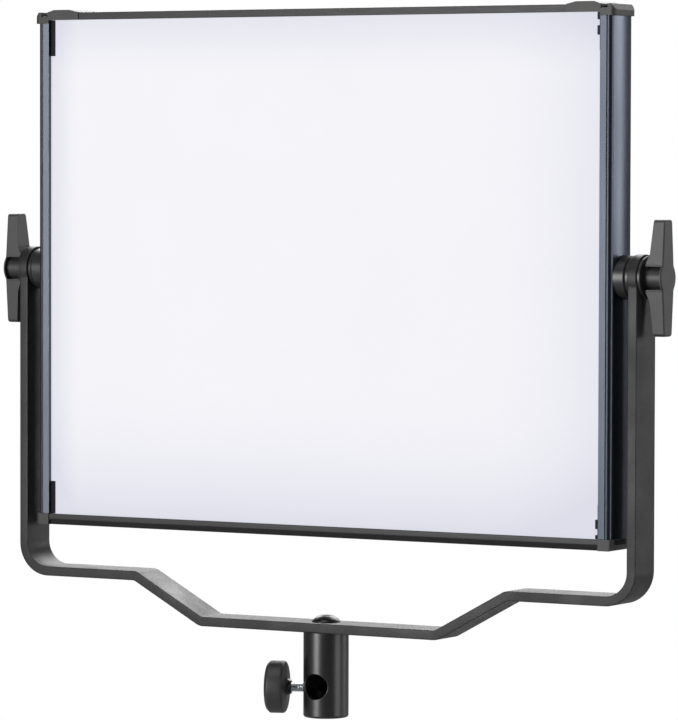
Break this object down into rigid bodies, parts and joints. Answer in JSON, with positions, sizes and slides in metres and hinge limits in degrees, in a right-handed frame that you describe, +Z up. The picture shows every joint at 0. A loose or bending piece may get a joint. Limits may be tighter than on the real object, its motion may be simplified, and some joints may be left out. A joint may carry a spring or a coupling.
{
  "type": "led panel light",
  "caption": "Flat rectangular LED panel light in a tilting U-shaped yoke with a 16 mm stand socket, clamping T-handles and rear controls.",
  "frame": {"origin": "centre of the stand socket's mouth, at the bottom face of the receiver", "axes": "+Z up along the stand socket, the light shines towards -Y, +X to the right seen from the front"},
  "size_m": [0.4684, 0.0856, 0.4375],
  "materials": {
    "anodised_column": "satin",
    "rail_black": "satin",
    "cap_plastic": "textured",
    "diffuser_opal": "matte",
    "clip_black": "matte",
    "reflector_white": "matte",
    "board_white": "matte",
    "emitter_yellow": "gloss",
    "sink_aluminium": "raw",
    "cover_black": "powder coat",
    "housing_black": "fine texture",
    "window_smoke": "gloss",
    "board_green": "satin",
    "component_grey": "matte",
    "dial_black": "soft touch",
    "shaft_steel": "turned",
    "button_rubber": "matte",
    "rocker_plastic": "satin",
    "port_steel": "plated",
    "contact_brass": "polished",
    "latch_plastic": "satin",
    "cable_black": "satin",
    "screw_black": "black oxide",
    "boss_black": "satin",
    "nut_steel": "zinc",
    "washer_black": "matte",
    "handle_plastic": "fine texture",
    "yoke_powder": "sandy powder coat",
    "receiver_black": "satin"
  },
  "bodies": {
    "yoke": {"yoke_bracket": "yoke_powder", "stand_receiver": "receiver_black", "receiver_bolt": "screw_black"},
    "head": {"battery_contacts": "contact_brass", "battery_plate": "housing_black", "battery_plate_screws": "screw_black", "battery_terminal": "housing_black", "bottom_rail": "rail_black", "button_switches": "component_grey", "cap_screws": "screw_black", "control_board": "board_green", "control_housing": "housing_black", "corner_cap_bottom_left": "cap_plastic", "corner_cap_bottom_right": "cap_plastic", "corner_cap_top_left": "cap_plastic", "corner_cap_top_right": "cap_plastic", "cover_screws": "screw_black", "data_port": "port_steel", "dial_encoders": "component_grey", "diffuser_clips": "clip_black", "diffuser_panel": "diffuser_opal", "display_module": "window_smoke", "display_window": "window_smoke", "driver_board": "board_green", "driver_components": "component_grey", "friction_washers": "washer_black", "heat_sink": "sink_aluminium", "housing_screws": "screw_black", "led_board": "board_white", "led_cable": "cable_black", "led_packages": "emitter_yellow", "pivot_bosses": "boss_black", "pivot_nuts": "nut_steel", "power_inlet": "rocker_plastic", "rear_cover": "cover_black", "reflector_frame": "reflector_white", "rocker_bezel": "rocker_plastic", "side_profile_left": "anodised_column", "side_profile_right": "anodised_column", "top_rail": "rail_black"},
    "washer_right": {"tilt_washer_right": "washer_black"},
    "washer_left": {"tilt_washer_left": "washer_black"},
    "handle_right": {"tilt_handle_right": "handle_plastic", "tilt_stud_right": "nut_steel"},
    "handle_left": {"tilt_handle_left": "handle_plastic", "tilt_stud_left": "nut_steel"},
    "lock_tip": {"lock_pad": "contact_brass"},
    "lock_knob": {"lock_knob": "handle_plastic", "lock_screw": "nut_steel"},
    "brightness_dial": {"brightness_dial": "dial_black", "brightness_shaft": "shaft_steel"},
    "colour_dial": {"colour_dial": "dial_black", "colour_shaft": "shaft_steel"},
    "preset_button": {"preset_button": "button_rubber"},
    "mode_button": {"mode_button": "button_rubber"},
    "menu_button": {"menu_button": "button_rubber"},
    "power_rocker": {"power_rocker": "rocker_plastic"},
    "release_latch": {"release_latch": "latch_plastic"}
  },
  "joints": [
    {"name": "tilt", "type": "hinge", "parent": "yoke", "child": "head", "pos_m": [0, 0, 0.274], "axis": [1, 0, 0], "continuous": true},
    {"name": "tilt_washer_slide_right", "type": "slide", "parent": "head", "child": "washer_right", "axis": [1, 0, 0], "range_m": [0, 0.0016]},
    {"name": "tilt_handle_turn_right", "type": "hinge", "parent": "washer_right", "child": "handle_right", "pos_m": [0.225, 0, 0.274], "axis": [1, 0, 0], "range_deg": [0, 450]},
    {"name": "tilt_washer_slide_left", "type": "slide", "parent": "head", "child": "washer_left", "axis": [-1, 0, 0], "range_m": [0, 0.0016]},
    {"name": "tilt_handle_turn_left", "type": "hinge", "parent": "washer_left", "child": "handle_left", "pos_m": [-0.225, 0, 0.274], "axis": [-1, 0, 0], "range_deg": [0, 450]},
    {"name": "lock_tip_slide", "type": "slide", "parent": "yoke", "child": "lock_tip", "axis": [-0.9397, -0.342, 0], "range_m": [-0.00501, 0.00201]},
    {"name": "lock_knob_turn", "type": "hinge", "parent": "lock_tip", "child": "lock_knob", "pos_m": [-0.02819, -0.01026, 0.0179], "axis": [-0.9397, -0.342, 0], "range_deg": [-1800, 720]},
    {"name": "brightness_dial_turn", "type": "hinge", "parent": "head", "child": "brightness_dial", "pos_m": [-0.02, 0.05, 0.196], "axis": [0, 1, 0], "continuous": true},
    {"name": "colour_dial_turn", "type": "hinge", "parent": "head", "child": "colour_dial", "pos_m": [-0.058, 0.05, 0.196], "axis": [0, 1, 0], "continuous": true},
    {"name": "preset_button_press", "type": "slide", "parent": "head", "child": "preset_button", "axis": [0, -1, 0], "range_m": [0, 0.0008]},
    {"name": "mode_button_press", "type": "slide", "parent": "head", "child": "mode_button", "axis": [0, -1, 0], "range_m": [0, 0.0008]},
    {"name": "menu_button_press", "type": "slide", "parent": "head", "child": "menu_button", "axis": [0, -1, 0], "range_m": [0, 0.0008]},
    {"name": "power_rocker_rock", "type": "hinge", "parent": "head", "child": "power_rocker", "pos_m": [-0.058, 0.0425, 0.156], "axis": [1, 0, 0], "range_deg": [0, 16]},
    {"name": "release_latch_slide", "type": "slide", "parent": "head", "child": "release_latch", "axis": [-1, 0, 0], "range_m": [0, 0.003]}
  ],
  "couplings": [
    {"joint": "tilt_washer_slide_right", "follows": "tilt_handle_turn_right", "m_per_rad": 0.00019894},
    {"joint": "tilt_washer_slide_left", "follows": "tilt_handle_turn_left", "m_per_rad": 0.00019894},
    {"joint": "lock_tip_slide", "follows": "lock_knob_turn", "m_per_rad": 0.00015915}
  ]
}
